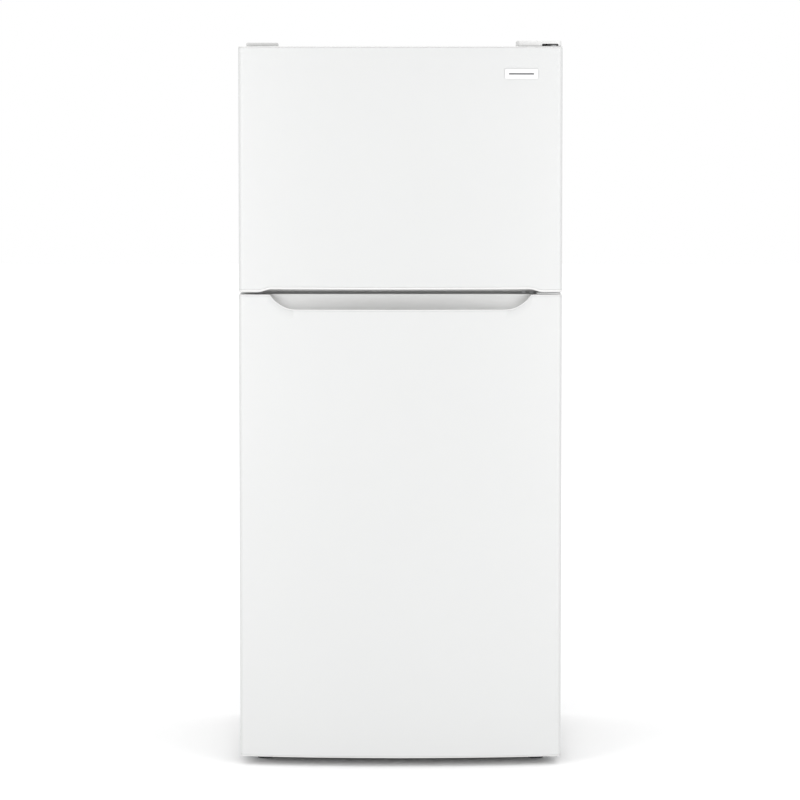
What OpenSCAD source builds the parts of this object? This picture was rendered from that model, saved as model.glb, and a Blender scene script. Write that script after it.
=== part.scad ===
// Top freezer refrigerator: two bowed doors hinged on the right, a recessed grip between
// them, a foamed cabinet with two liners, shelves, drawers, and the cooling machinery.
// Frame: +Z up, the doors face -Y, and the origin is on the floor under the middle.

/* [Overall] */
// Width over the doors
overall_w = 750; // [680:1:900]
// Depth from the door's bow to the rear screws
overall_d = 772; // [700:1:880]
// Height from the floor to the top of the hinge cover
overall_h = 1688; // [1560:1:1900]
// Height of the freezer door
freezer_door_h = 568; // [460:1:680]
// Gap between the two doors
door_gap = 5; // [5:0.5:7]
// Height of the fridge door's underside above the floor
floor_gap = 20; // [20:1:26]
// Rise of the hinge cover above the doors
cover_rise = 13; // [12:1:20]

/* [Doors] */
// How far the front bows out at its middle
door_bow = 30; // [18:1:40]
// Door thickness at its side edges
door_edge_t = 62; // [58:1:80]
// Radius of the doors' upright front edges
door_edge_r = 10; // [8:1:14]
// Thickness of the magnetic gasket
gasket_t = 10; // [9:0.5:14]
// Width of the gasket's face
gasket_w = 18; // [14:1:20]
// How far the door liners' raised rims stand proud
dyke_h = 70; // [60:1:76]
// Width of the raised rims
dyke_w = 20; // [16:1:24]
// Depth of the door bins, front to back
bin_d = 110; // [90:1:114]
// Wall of the bins and drawers
bin_t = 2.5; // [2:0.1:4]
// Hinge line's distance in from the door's side
hinge_in = 18; // [17:0.5:20]
// Hinge pin radius
pin_r = 4.5; // [4:0.25:5]

/* [Grip] */
// Distance from the door's side to the scoop's upper corner
scoop_in = 70; // [60:1:120]
// How far each end of the scoop slopes in towards its floor
scoop_slope = 50; // [30:1:60]
// Height of the scoop
scoop_h = 34; // [28:1:38]
// Height of the arch under the freezer door
arch_h = 7; // [5:0.5:9]
// Distance from the door's side to the finger pockets behind both lips
pocket_in = 125; // [115:1:180]
// Depth of the finger pockets
pocket_h = 30; // [24:1:32]

/* [Cabinet] */
// Thickness of the painted steel
steel_t = 1; // [0.8:0.1:1.2]
// Thickness of the plastic liners
liner_t = 2; // [1.6:0.1:2.4]
// Side wall of the fresh food section, foam and skins
food_wall = 40; // [36:1:60]
// Side wall of the freezer, foam and skins
freezer_wall = 55; // [50:1:75]
// Rear wall of the fresh food section
food_back = 50; // [40:1:70]
// Rear wall of the freezer
freezer_back = 65; // [50:1:80]
// Thickness of the freezer's roof
roof_t = 50; // [45:1:70]
// Height of the divider between the sections
divider_h = 76; // [70:1:90]
// Height of the fresh food floor
food_floor = 100; // [98:1:120]
// Height of the machine compartment's ceiling
machine_h = 270; // [262:1:300]
// Depth of the machine compartment
machine_d = 232; // [225:1:260]

/* [Inside] */
// Space between the fresh food ceiling and the upper glass shelf
shelf_drop = 246; // [200:1:280]
// Depth that every shelf stands back behind the cabinet's front
shelf_back = 119; // [115:1:130]
// Drawer travel
drawer_travel = 250; // [150:1:250]
// Gap between the two drawers
drawer_gap = 8; // [6:1:20]
// Wheel radius
wheel_r = 20; // [16:1:20]
// Wheel axle radius
axle_r = 4; // [3:0.25:5]
// Leveling leg thread radius
leg_r = 5; // [4:0.25:6]

/* [Hidden] */
$fn = 48;
bow_steps = 36;      // flats along a door's bow
corner_steps = 5;    // flats round a small corner
cut = 1;             // how far a cutter runs past what it cuts
running = 0.1;       // clearance of a pin in its bore
slip = 1;            // clearance between panels that only pass each other

// Places along the depth
half_w = overall_w / 2;
y_bow = -overall_d / 2;
y_edge = y_bow + door_bow;
y_door = y_edge + door_edge_t;           // the doors' inner face
y_cab = y_door + gasket_t;               // the cabinet's front face
cover_t = 1.5;
screw_head_h = 2.5;
y_back = overall_d / 2 - cover_t - screw_head_h;
seal_gap = 0.3;
bow_r = (half_w * half_w + door_bow * door_bow) / (2 * door_bow);

// Places up the height
fridge_z0 = floor_gap;
freezer_z1 = overall_h - cover_rise;
freezer_z0 = freezer_z1 - freezer_door_h;
fridge_z1 = freezer_z0 - door_gap;
z_split = (fridge_z1 + freezer_z0) / 2;
z_cab = freezer_z1 + 1;
z_skirt = floor_gap + 5;
base_z0 = 30;
base_z1 = 62;
face_z = 50;                             // where the toe grille ends

// The two sections inside
cab_hw = half_w - 1;
food_hw = cab_hw - food_wall;
food_z1 = z_split - divider_h / 2;
food_y1 = y_back - food_back;
freezer_hw = cab_hw - freezer_wall;
freezer_in_z0 = z_split + divider_h / 2;
freezer_in_z1 = z_cab - roof_t;
freezer_y1 = y_back - freezer_back;
machine_y = y_back - machine_d;
step_foam = 48;
step_z = machine_h + step_foam + liner_t;
step_y = machine_y - step_foam - liner_t;
section_r = 16;

// The cabinet's front face
flange_w = 20;
flange_x = cab_hw - flange_w;
divider_face = 40;
rail_face_z1 = food_floor - 25;

// Doors
hinge_x = half_w - hinge_in;
hinge_y = y_edge + 26;
bore_r = pin_r + running;
liner_face_t = 2;
y_liner_back = y_door - 8;
y_cap_back = y_door - liner_face_t - 1;
return_w = 12;
cap_h = 26;
grip_cap_h = 50;
pin_len = 20;
scoop_w = overall_w - 2 * scoop_in;
scoop_floor_w = scoop_w - 2 * scoop_slope;
pocket_w = overall_w - 2 * pocket_in;
gasket_in = 2;
gasket_x = hinge_x - gasket_in;
gasket_edge = 12;
food_gasket_z0 = food_floor - 28;
food_dyke_hw = food_hw - 14;
freezer_dyke_hw = freezer_hw - 16;
y_bins = y_liner_back + liner_face_t;
y_bin_tip = y_bins + bin_d;
lip_t = 9;

// Hinges
hinge_t = 3;
leaf_gap = (door_gap - hinge_t) / 2;

// Shelves and drawers
y_shelf = y_cab + shelf_back;
shelf_t = 14;
glass_t = 4;
shelf_side = 3;
frame_w = 22;
rib_w = 8;
rib_h = 6;
lid_z1 = step_z + 20;
shelf_high = food_z1 - shelf_drop;
shelf_low = (lid_z1 + shelf_high) / 2;
runner_h = 8;
drawer_hw = min(food_hw - 31, hinge_x - gasket_in - 52);
drawer_z0 = food_floor + runner_h + seal_gap;
drawer_z1 = step_z - 5;
drawer_y1 = step_y - 7;
duct_depth = 85;
y_duct = freezer_y1 - duct_depth;
y_control = y_shelf + 95;
control_z0 = food_z1 - 60;

// The doors' raised rims, and what hangs between them
dyke_tip = y_door + dyke_h;
dyke_clear = 14;
freezer_dyke_z0 = max(freezer_in_z0 + dyke_clear, freezer_z0 + grip_cap_h + slip);
freezer_dyke_z1 = freezer_in_z1 - dyke_clear;
food_dyke_z0 = food_floor + 12;
food_dyke_z1 = min(food_z1 - dyke_clear, fridge_z1 - grip_cap_h - slip);
bin_side = 0.5;
bin_h = 92;
tall_bin_h = 110;
flap_t = 2.5;
flap_h = 92;
flap_x0 = -food_dyke_hw + dyke_w + 3;
flap_x1 = -20;
flap_z = food_dyke_z1 - dyke_w - 9;
flap_y = y_bin_tip - 8;                  // the flap's hinge line
flap_pin_r = 2;
dairy_z = flap_z - flap_h - 12;
freezer_bin_z = freezer_dyke_z0 + dyke_w + 16;
freezer_bin_zs = [freezer_bin_z, (freezer_dyke_z0 + freezer_dyke_z1) / 2 + 10];
food_bin_z = food_dyke_z0 + dyke_w + 12;
food_bin_zs = [for (i = [0:2]) food_bin_z + i * (dairy_z - food_bin_z) / 3];
wire_bar = 2.5;
wire_z = (freezer_in_z0 + freezer_in_z1) / 2 - 14;
knob_z = freezer_in_z0 + 74;

// Under the cabinet
wheel_w = 16;
wheel_x = cab_hw - 36;
wheel_y = y_back - 50;
leg_x = cab_hw - 54;
leg_y = y_cab + 30;
compressor_x = cab_hw - 184;
machine_mid = (machine_y + y_back) / 2;
fan_x = compressor_x - 160;
fan_z = 150;
fan_r = 70;
pan_x0 = -wheel_x + wheel_w / 2 + 8;
pan_z = base_z0 + 2;
pan_t = 2;
duct_fan_z = freezer_in_z1 - 92;
duct_fan_r = 50;

// ---- Shapes used many times ----

function arc(cx, cy, r, a0, a1, n) =
    [for (i = [0:n]) let (a = a0 + (a1 - a0) * i / n) [cx + r * cos(a), cy + r * sin(a)]];

// A rectangle from (x0, y0) to (x1, y1) with round corners
function round_rect(x0, y0, x1, y1, r) = concat(
    arc(x1 - r, y1 - r, r, 0, 90, corner_steps),
    arc(x0 + r, y1 - r, r, 90, 180, corner_steps),
    arc(x0 + r, y0 + r, r, 180, 270, corner_steps),
    arc(x1 - r, y0 + r, r, 270, 360, corner_steps));

// A door's plan, set in by inset, with its back at y = back
edge_cx = half_w - door_edge_r;
bow_cy = y_bow + bow_r;
edge_cy = bow_cy - sqrt(pow(bow_r - door_edge_r, 2) - edge_cx * edge_cx);
bow_a = asin(edge_cx / (bow_r - door_edge_r));
function door_plan(inset, back) = concat(
    [[half_w - inset, back]],
    arc(edge_cx, edge_cy, door_edge_r - inset, 0, bow_a - 90, corner_steps),
    arc(0, bow_cy, bow_r - inset, bow_a - 90, -bow_a - 90, bow_steps),
    arc(-edge_cx, edge_cy, door_edge_r - inset, -bow_a - 90, -180, corner_steps),
    [[-half_w + inset, back]]);

// Depth of a door's front face at x
function front_y(x) = bow_cy - sqrt(bow_r * bow_r - x * x);

module box(x0, y0, z0, x1, y1, z1) {
    translate([x0, y0, z0]) cube([x1 - x0, y1 - y0, z1 - z0]);
}

module both_sides() {
    children();
    mirror([1, 0, 0]) children();
}

// Extrudes an outline drawn in X and Z along Y, from y0 to y1
module along_y(y0, y1) {
    translate([0, y1, 0]) rotate([90, 0, 0]) linear_extrude(y1 - y0) children();
}

// Extrudes an outline drawn in Y and Z along X, from x0 to x1
module along_x(x0, x1) {
    translate([x0, 0, 0]) rotate([90, 0, 90]) linear_extrude(x1 - x0) children();
}

module along_z(z0, z1) {
    translate([0, 0, z0]) linear_extrude(z1 - z0) children();
}

// Round bars and bores from a point along each axis
module rod_x(x0, x1, y, z, r) {
    translate([x0, y, z]) rotate([0, 90, 0]) cylinder(h = x1 - x0, r = r);
}

module rod_y(x, y0, y1, z, r) {
    translate([x, y1, z]) rotate([90, 0, 0]) cylinder(h = y1 - y0, r = r);
}

module rod_z(x, y, z0, z1, r) {
    translate([x, y, z0]) cylinder(h = z1 - z0, r = r);
}

// A flat ring in X and Z, as a frame or gasket is
module frame_y(x0, z0, x1, z1, w, r, y0, y1) {
    difference() {
        along_y(y0, y1) polygon(round_rect(x0, z0, x1, z1, r));
        along_y(y0 - cut, y1 + cut)
            polygon(round_rect(x0 + w, z0 + w, x1 - w, z1 - w, max(r - w, 2)));
    }
}

// An open tray with a floor and four walls
module tray(x0, y0, z0, x1, y1, z1, t, r) {
    difference() {
        along_z(z0, z1) polygon(round_rect(x0, y0, x1, y1, r));
        along_z(z0 + t, z1 + cut)
            polygon(round_rect(x0 + t, y0 + t, x1 - t, y1 - t, r - t + 0.5));
    }
}

module hex_screw_y(x, y, z) {
    translate([x, y, z]) rotate([90, 0, 0]) cylinder(h = screw_head_h, r = 5, $fn = 6);
}

module hex_screw_z(x, y, z) {
    translate([x, y, z]) cylinder(h = 3.5, r = 6, $fn = 6);
}

// ---- Cabinet ----

module cabinet_shell() {
    color("white") difference() {
        box(-cab_hw, y_cab, z_skirt, cab_hw, y_back, z_cab);
        box(-cab_hw + steel_t, y_cab + steel_t, z_skirt - cut,
            cab_hw - steel_t, y_back + cut, z_cab - steel_t);
        box(-flange_x, y_cab - cut, z_skirt - cut, flange_x, y_cab + 2 * cut, z_cab - flange_w);
    }
}

module back_panel() {
    color("gainsboro")
        box(-cab_hw + steel_t, y_back - steel_t, machine_h + steel_t,
            cab_hw - steel_t, y_back, z_cab - steel_t);
}

// The floor sheet, which steps up over the machine compartment
module step_panel() {
    color("silver")
        along_x(-cab_hw + steel_t, cab_hw - steel_t)
            polygon([
                [y_cab + liner_t, base_z1],
                [machine_y, base_z1],
                [machine_y, machine_h],
                [y_back, machine_h],
                [y_back, machine_h + steel_t],
                [machine_y - steel_t, machine_h + steel_t],
                [machine_y - steel_t, base_z1 + steel_t],
                [y_cab + liner_t, base_z1 + steel_t]
            ]);
}

// The space in the fresh food section, grown on all sides by g
module food_space(g) {
    difference() {
        along_y(y_cab - cut, food_y1 + g)
            polygon(round_rect(-food_hw - g, food_floor - g, food_hw + g, food_z1 + g,
                               section_r + g));
        box(-cab_hw, step_y + g, 0, cab_hw, y_back + cut, step_z - g);
    }
}

module freezer_space(g) {
    along_y(y_cab - cut, freezer_y1 + g)
        polygon(round_rect(-freezer_hw - g, freezer_in_z0 - g, freezer_hw + g,
                           freezer_in_z1 + g, section_r + g));
}

module shelf_rib(hw, z, y0, y1) {
    both_sides() box(hw - rib_w, y0, z - rib_h, hw + liner_t / 2, y1, z);
}

module fresh_food_liner() {
    color("white") {
        difference() {
            union() {
                intersection() {
                    food_space(liner_t);
                    box(-cab_hw, y_cab, 0, cab_hw, y_back, z_cab);
                }
                box(-flange_x, y_cab, rail_face_z1, flange_x, y_cab + liner_t,
                    z_split - divider_face / 2);
            }
            food_space(0);
        }
        for (z = [shelf_low, shelf_high, lid_z1])
            shelf_rib(food_hw, z - shelf_t, y_shelf + 5, food_y1 - section_r);
    }
}

module freezer_liner() {
    color("white") {
        difference() {
            union() {
                intersection() {
                    freezer_space(liner_t);
                    box(-cab_hw, y_cab, 0, cab_hw, y_back, z_cab);
                }
                box(-flange_x, y_cab, z_split + divider_face / 2, flange_x,
                    y_cab + liner_t, z_cab - flange_w);
            }
            freezer_space(0);
        }
        shelf_rib(freezer_hw, wire_z - wire_bar, y_shelf + 5, y_duct - 10);
    }
}

module cabinet_foam() {
    color("khaki") difference() {
        box(-cab_hw + steel_t, y_cab + liner_t, base_z1 + steel_t,
            cab_hw - steel_t, y_back - steel_t, z_cab - steel_t);
        food_space(liner_t);
        freezer_space(liner_t);
        box(-cab_hw, machine_y - steel_t, 0, cab_hw, y_back, machine_h + steel_t);
    }
}

module divider_cover() {
    color("whitesmoke")
        box(-flange_x, y_cab, z_split - divider_face / 2, flange_x, y_cab + liner_t,
            z_split + divider_face / 2);
}

// ---- Base ----

ear_t = 2;
ear_gap = wheel_w / 2 + slip;

module base_frame() {
    plate_t = 2;
    rail_w = 33;
    color("gray") difference() {
        union() {
            both_sides() {
                box(cab_hw - 3, y_cab + 4, base_z0, cab_hw - steel_t, y_back - 4, base_z1);
                box(cab_hw - rail_w, y_cab + 4, base_z0, cab_hw - steel_t, y_back - 4,
                    base_z0 + plate_t);
                box(cab_hw - rail_w, y_cab + 4, base_z1 - plate_t, cab_hw - steel_t,
                    machine_y - 4, base_z1);
                // seat of the leveling leg
                box(leg_x - 20, y_cab + 10, base_z0, cab_hw - rail_w + cut, leg_y + 20,
                    base_z0 + plate_t);
                rod_z(leg_x, leg_y, base_z0, base_z0 + 20, leg_r + 6);
                // ears of the roller
                for (s = [-1, 1])
                    box(wheel_x + s * (ear_gap + ear_t / 2) - ear_t / 2, wheel_y - 14,
                        wheel_r - 8, wheel_x + s * (ear_gap + ear_t / 2) + ear_t / 2,
                        wheel_y + 14, base_z0 + plate_t);
            }
            box(-cab_hw + 2, machine_y + 2, base_z0, cab_hw - 2, y_back - 4,
                base_z0 + plate_t);
            box(-cab_hw + 2, y_cab + 2, base_z1 - plate_t, cab_hw - 2, y_cab + 34, base_z1);
            box(-flange_x, y_cab, face_z, flange_x, y_cab + liner_t, rail_face_z1);
            box(-flange_x, y_cab, face_z, flange_x, y_cab + 22, face_z + 2);
            both_sides() box(flange_x - 4, y_cab, 32, flange_x, y_cab + 22, base_z1);
        }
        both_sides() {
            rod_z(leg_x, leg_y, base_z0 - cut, base_z0 + 20 + cut, leg_r + running);
            box(wheel_x - ear_gap, wheel_y - wheel_r - 4, base_z0 - cut,
                wheel_x + ear_gap, wheel_y + wheel_r + 4, base_z0 + plate_t + cut);
            rod_x(wheel_x - 20, wheel_x + 20, wheel_y, wheel_r, axle_r);
        }
    }
}

module roller_axles() {
    color("silver") both_sides()
        rod_x(wheel_x - ear_gap - ear_t, wheel_x + ear_gap + ear_t, wheel_y, wheel_r, axle_r);
}

module roller() {
    color("dimgray") difference() {
        rod_x(wheel_x - wheel_w / 2, wheel_x + wheel_w / 2, wheel_y, wheel_r, wheel_r);
        rod_x(wheel_x - wheel_w, wheel_x + wheel_w, wheel_y, wheel_r, axle_r + running);
        for (s = [-1, 1])
            translate([wheel_x + s * wheel_w / 2, wheel_y, wheel_r]) rotate([0, 90, 0])
                difference() {
                    cylinder(h = 5, r = wheel_r - 4, center = true);
                    cylinder(h = 6, r = axle_r + 3, center = true);
                }
    }
}

module leveling_leg() {
    foot_r = 18;
    foot_h = 9;
    color("dimgray") {
        translate([leg_x, leg_y, 0]) rotate_extrude()
            polygon([[0, 0], [foot_r, 0], [foot_r, foot_h - 4], [foot_r - 4, foot_h],
                     [0, foot_h]]);
        rod_z(leg_x, leg_y, foot_h - cut, base_z1 - 3, leg_r);
        translate([leg_x, leg_y, foot_h - cut]) cylinder(h = 7, r = 9, $fn = 6);
    }
}

module toe_grille() {
    x0 = -flange_x + 8;
    x1 = leg_x - 8;
    z0 = 15;
    z1 = face_z;
    slot_n = 11;
    pitch = (x1 - x0 - 24) / slot_n;
    color("white") difference() {
        union() {
            along_y(y_cab, y_cab + 3) polygon(round_rect(x0, z0, x1, z1, 4));
            box(x0 + 6, y_cab, z1 - 4, x1 - 6, y_cab + 9, z1);
            box(x0 + 6, y_cab, z0, x1 - 6, y_cab + 9, z0 + 3);
        }
        for (i = [0:slot_n - 1], j = [0:1])
            let (sx = x0 + 12 + pitch * (i + 0.5), sz = z0 + 10 + 11 * j)
                along_y(y_cab - cut, y_cab + 3 + cut)
                    polygon(round_rect(sx - pitch / 2 + 4, sz - 3, sx + pitch / 2 - 4,
                                       sz + 3, 2.5));
    }
}

// ---- Hinges ----

leaf_r = hinge_in - 6;

// A leaf from the cabinet to a round tip about the hinge line
module hinge_leaf(x0, z, y1) {
    rod_z(hinge_x, hinge_y, z, z + hinge_t, leaf_r);
    along_z(z, z + hinge_t)
        polygon([[x0, y1], [x0, y_door], [hinge_x, hinge_y - leaf_r],
                 [hinge_x + leaf_r, hinge_y], [hinge_x + leaf_r, y1]]);
}

bottom_leaf_z = floor_gap - 2 - hinge_t;

module bottom_hinge() {
    color("white") {
        hinge_leaf(cab_hw - 56, bottom_leaf_z, y_cab);
        box(cab_hw - 56, y_cab - hinge_t, bottom_leaf_z, hinge_x + leaf_r, y_cab, base_z1 - 2);
        rod_z(hinge_x, hinge_y, bottom_leaf_z + hinge_t, fridge_z0 + pin_len, pin_r);
        rod_z(hinge_x, hinge_y, bottom_leaf_z + hinge_t, fridge_z0 - 0.5, pin_r + 4);
    }
}

centre_x0 = cab_hw - 96;
plate_half = 12.5;
centre_screws = [10, 28];

// Its leaf reaches forward of the pins, so that it shows in the gap between the doors
module centre_hinge() {
    nose = 23;
    leaf_z = fridge_z1 + leaf_gap;
    color("white") {
        along_z(leaf_z, leaf_z + hinge_t)
            polygon(round_rect(centre_x0 + 38, hinge_y - nose, hinge_x + leaf_r, y_cab, 6));
        difference() {
            along_y(y_cab - hinge_t, y_cab)
                polygon(round_rect(centre_x0, z_split - plate_half, hinge_x + leaf_r,
                                   z_split + plate_half, 4));
            for (dx = centre_screws)
                rod_y(centre_x0 + dx, y_cab - hinge_t - cut, y_cab + cut, z_split, 2.6);
        }
        rod_z(hinge_x, hinge_y, fridge_z1 - pin_len, freezer_z0 + pin_len, pin_r);
    }
}

top_x0 = cab_hw - 74;
top_y1 = y_cab + 84;

module top_hinge() {
    color("white") {
        difference() {
            hinge_leaf(top_x0, z_cab, top_y1);
            for (p = top_screw_places) rod_z(p[0], p[1], z_cab - cut, z_cab + 2 * hinge_t, 3);
        }
        rod_z(hinge_x, hinge_y, freezer_z1 - pin_len, z_cab + cut, pin_r);
    }
}

top_screw_places = [[top_x0 + 14, top_y1 - 14], [hinge_x - 4, top_y1 - 14],
                    [top_x0 + 34, top_y1 - 46]];

module top_hinge_cover() {
    wall = 2;
    x0 = cab_hw - 103;
    x1 = cab_hw - 2;
    y0 = hinge_y - 20;
    y1 = top_y1 + 6;
    color("white") difference() {
        along_z(z_cab, overall_h) polygon(round_rect(x0, y0, x1, y1, 8));
        along_z(z_cab - cut, overall_h - wall)
            polygon(round_rect(x0 + wall, y0 + wall, x1 - wall, y1 - wall, 6));
        // arch in the front wall, where the hinge leaf shows
        along_y(y0 - cut, y0 + wall + cut)
            polygon(round_rect(hinge_x - 30, z_cab - 3, hinge_x + 8, z_cab + 5, 2.5));
    }
}

module hinge_hole_cap() {
    color("white") along_z(z_cab, z_cab + 9)
        polygon(round_rect(-cab_hw + 15, y_cab + 1, -cab_hw + 88, y_cab + 80, 6));
}

rear_screw_places = [for (x = [-345, 0, 345], z = [48, machine_h - 3])
    [x * cab_hw / 374, z]];

module screws() {
    color("silver") {
        for (p = top_screw_places) {
            hex_screw_z(p[0], p[1], z_cab + hinge_t);
            rod_z(p[0], p[1], z_cab, z_cab + hinge_t + cut, 2.5);
        }
        for (dx = centre_screws) {
            hex_screw_y(centre_x0 + dx, y_cab - hinge_t, z_split);
            rod_y(centre_x0 + dx, y_cab - hinge_t - cut, y_cab, z_split, 2.4);
        }
        for (z = [32, 48]) hex_screw_y(cab_hw - 42, y_cab - hinge_t, z);
        for (p = rear_screw_places) {
            translate([p[0], y_back + cover_t, p[1]]) rotate([-90, 0, 0])
                cylinder(h = screw_head_h, r = 5.5, $fn = 6);
            rod_y(p[0], y_back, y_back + cover_t + cut, p[1], 2);
        }
    }
}

// ---- Machine compartment ----

module compressor() {
    r = 74;
    z0 = 48;
    neck = 18;
    top = 205;
    shell = concat([[0, z0 + 4]], arc(r - neck, z0 + 4 + neck, neck, -90, 0, corner_steps),
                   arc(r - neck * 2, top - neck * 2, neck * 2, 0, 90, 8), [[0, top]]);
    color("black") {
        translate([compressor_x, machine_mid, 0]) rotate_extrude($fn = 64) polygon(shell);
        translate([compressor_x, machine_mid, 0]) rotate_extrude($fn = 64)
            polygon([[r - 4, 118], [r + 4, 118], [r + 4, 124], [r - 4, 124]]);
        difference() {
            along_z(45, z0)
                polygon(round_rect(compressor_x - 95, machine_mid - 70, compressor_x + 95,
                                   machine_mid + 70, 14));
            for (p = grommet_places) rod_z(p[0], p[1], 40, z0 + cut, 5.2);
        }
        rod_z(compressor_x, machine_mid, z0 - cut, z0 + 6, r - 24);
        box(compressor_x - 26, machine_mid - r - 26, 80, compressor_x + 26,
            machine_mid - r + 14, 140);
    }
}

grommet_places = [for (sx = [-1, 1], sy = [-1, 1])
    [compressor_x + sx * 80, machine_mid + sy * 55]];

module compressor_grommets() {
    color("dimgray") for (p = grommet_places) {
        rod_z(p[0], p[1], base_z0 + 2, 45, 12);
        rod_z(p[0], p[1], 44, 52, 5);
    }
}

// A serpentine of straight runs along X with half-round bends, in layers
module condenser_coil() {
    tube_r = 3;
    x0 = pan_x0 + 30;
    x1 = fan_x - 95;
    y0 = machine_y + 34;
    pitch = 44;
    runs = 4;
    layers = [78, 118, 158, 198];
    color("dimgray") {
        for (z = layers) {
            for (i = [0:runs - 1]) rod_x(x0, x1, y0 + i * pitch, z, tube_r);
            for (i = [0:runs - 2])
                translate([i % 2 == 0 ? x1 : x0, y0 + (i + 0.5) * pitch, z])
                    rotate([0, 0, i % 2 == 0 ? -90 : 90])
                        rotate_extrude(angle = 180) translate([pitch / 2, 0])
                            circle(r = tube_r);
        }
        // bends that join the layers, alternately at the far and the near run
        for (i = [0:len(layers) - 2])
            translate([x0, i % 2 == 0 ? y0 + (runs - 1) * pitch : y0,
                       (layers[i] + layers[i + 1]) / 2])
                rotate([90, 0, 0]) rotate([0, 0, 90])
                    rotate_extrude(angle = 180)
                        translate([(layers[i + 1] - layers[i]) / 2, 0]) circle(r = tube_r);
        for (x = [x0 + 30, x1 - 30])
            box(x - 1, y0 - 12, pan_z + pan_t, x + 1, y0 + (runs - 1) * pitch + 12, 212);
    }
}

module fan_blade(r, hub_r, hub_h, blades, blade_h) {
    rotate_extrude() polygon([[1.6, 0], [hub_r, 0], [hub_r, hub_h - 2], [hub_r - 2, hub_h],
                              [1.6, hub_h]]);
    for (i = [0:blades - 1])
        rotate([0, 0, i * 360 / blades]) translate([hub_r - 1, 0, hub_h / 2])
            rotate([28, 0, 0])
                linear_extrude(1.6, center = true)
                    polygon([[0, -blade_h * 0.35], [r * 0.35, -blade_h * 0.55],
                             [r - hub_r - 2, -blade_h * 0.6], [r - hub_r + 1, 0],
                             [r - hub_r - 2, blade_h * 0.55], [r * 0.3, blade_h * 0.5],
                             [0, blade_h * 0.35]]);
}

module condenser_fan() {
    color("whitesmoke") translate([fan_x, machine_mid, fan_z]) rotate([0, 90, 0])
        fan_blade(fan_r, 20, 22, 5, 46);
}

// Motor on a three-armed bracket inside a round shroud plate
module condenser_fan_motor() {
    x_shroud = fan_x - 12;
    color("gray") {
        difference() {
            union() {
                box(x_shroud, machine_y + 12, base_z0 + 2, x_shroud + 2, y_back - 20,
                    machine_h - 12);
                rod_x(x_shroud, fan_x + 24, machine_mid, fan_z, fan_r + 10);
            }
            rod_x(x_shroud - cut, fan_x + 25, machine_mid, fan_z, fan_r + 7);
        }
        rod_x(fan_x + 28, fan_x + 58, machine_mid, fan_z, 24);
        for (a = [30, 150, 270])
            translate([fan_x + 29, machine_mid, fan_z]) rotate([a, 0, 0])
                cube([3, fan_r + 9, 6]);
        for (a = [30, 150, 270])
            translate([fan_x + 20, machine_mid, fan_z]) rotate([a, 0, 0])
                translate([0, fan_r + 7.5, 0]) cube([12, 2, 6]);
        rod_x(fan_x - 4, fan_x + 30, machine_mid, fan_z, 1.5);
    }
}

module drain_pan() {
    color("dimgray") tray(pan_x0, machine_y + 16, pan_z, fan_x - 30, y_back - 22,
                          pan_z + 15, pan_t, 8);
}

// The vented cover, with a bushing for the supply cord in its lower corner
module rear_cover() {
    hw = cab_hw - 9;
    z0 = base_z0 + 4;
    z1 = machine_h + 6;
    slot_w = 64;
    gland_x = hw - 60;
    gland_z = z0 + 34;
    gland_r = 8;
    gland_bore = 4;
    gland_rim = 3;
    gland_in = 6;
    gland_out = 2;
    color("gainsboro") difference() {
        union() {
            along_y(y_back, y_back + cover_t) polygon(round_rect(-hw, z0, hw, z1, 5));
            rod_y(gland_x, y_back, y_back + cover_t + gland_out, gland_z, gland_r + gland_rim);
            rod_y(gland_x, y_back - gland_in, y_back + cover_t, gland_z, gland_r);
        }
        rod_y(gland_x, y_back - gland_in - cut, y_back + cover_t + gland_out + cut, gland_z,
              gland_bore);
        for (gx = [-hw * 0.62, -hw * 0.28, hw * 0.28, hw * 0.62], i = [0:9])
            let (z = 78 + i * 17)
                along_y(y_back - cut, y_back + cover_t + cut)
                    polygon(round_rect(gx - slot_w / 2, z - 3, gx + slot_w / 2, z + 3, 2.5));
        for (p = rear_screw_places)
            rod_y(p[0], y_back - cut, y_back + cover_t + cut, p[1], 2.1);
    }
}

module tube_bend(r_bend, r, angle) {
    rotate_extrude(angle = angle) translate([r_bend, 0]) circle(r = r);
}

// Drier bottle, its line from the compressor, and the lines that rise to the cold side
module refrigerant_tubes() {
    r = 2.5;
    x = compressor_x + 98;
    y = machine_mid + 40;
    over = 212;
    drop_x = compressor_x + 50;
    u = 14;
    low = 80;
    color("peru") {
        rod_z(x, y, 92, 172, 9);
        rod_z(x, y, 171, over - u, r);
        translate([x - u, y, over - u]) rotate([90, 0, 0]) tube_bend(u, r, 90);
        rod_x(drop_x + u, x - u, y, over, r);
        translate([drop_x + u, y, over - u]) rotate([90, 0, 0]) rotate([0, 0, 90])
            tube_bend(u, r, 90);
        rod_z(drop_x, y, 186, over - u, r);
        rod_z(x, y, low, 93, r);
        translate([x + u, y, low]) rotate([90, 0, 0]) rotate([0, 0, 180])
            tube_bend(u, r, 180);
        rod_z(x + 2 * u, y, low, machine_h, r);
        rod_z(compressor_x - 45, machine_mid + 45, 186, machine_h, 4);
    }
}

// ---- Cold side ----

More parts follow.
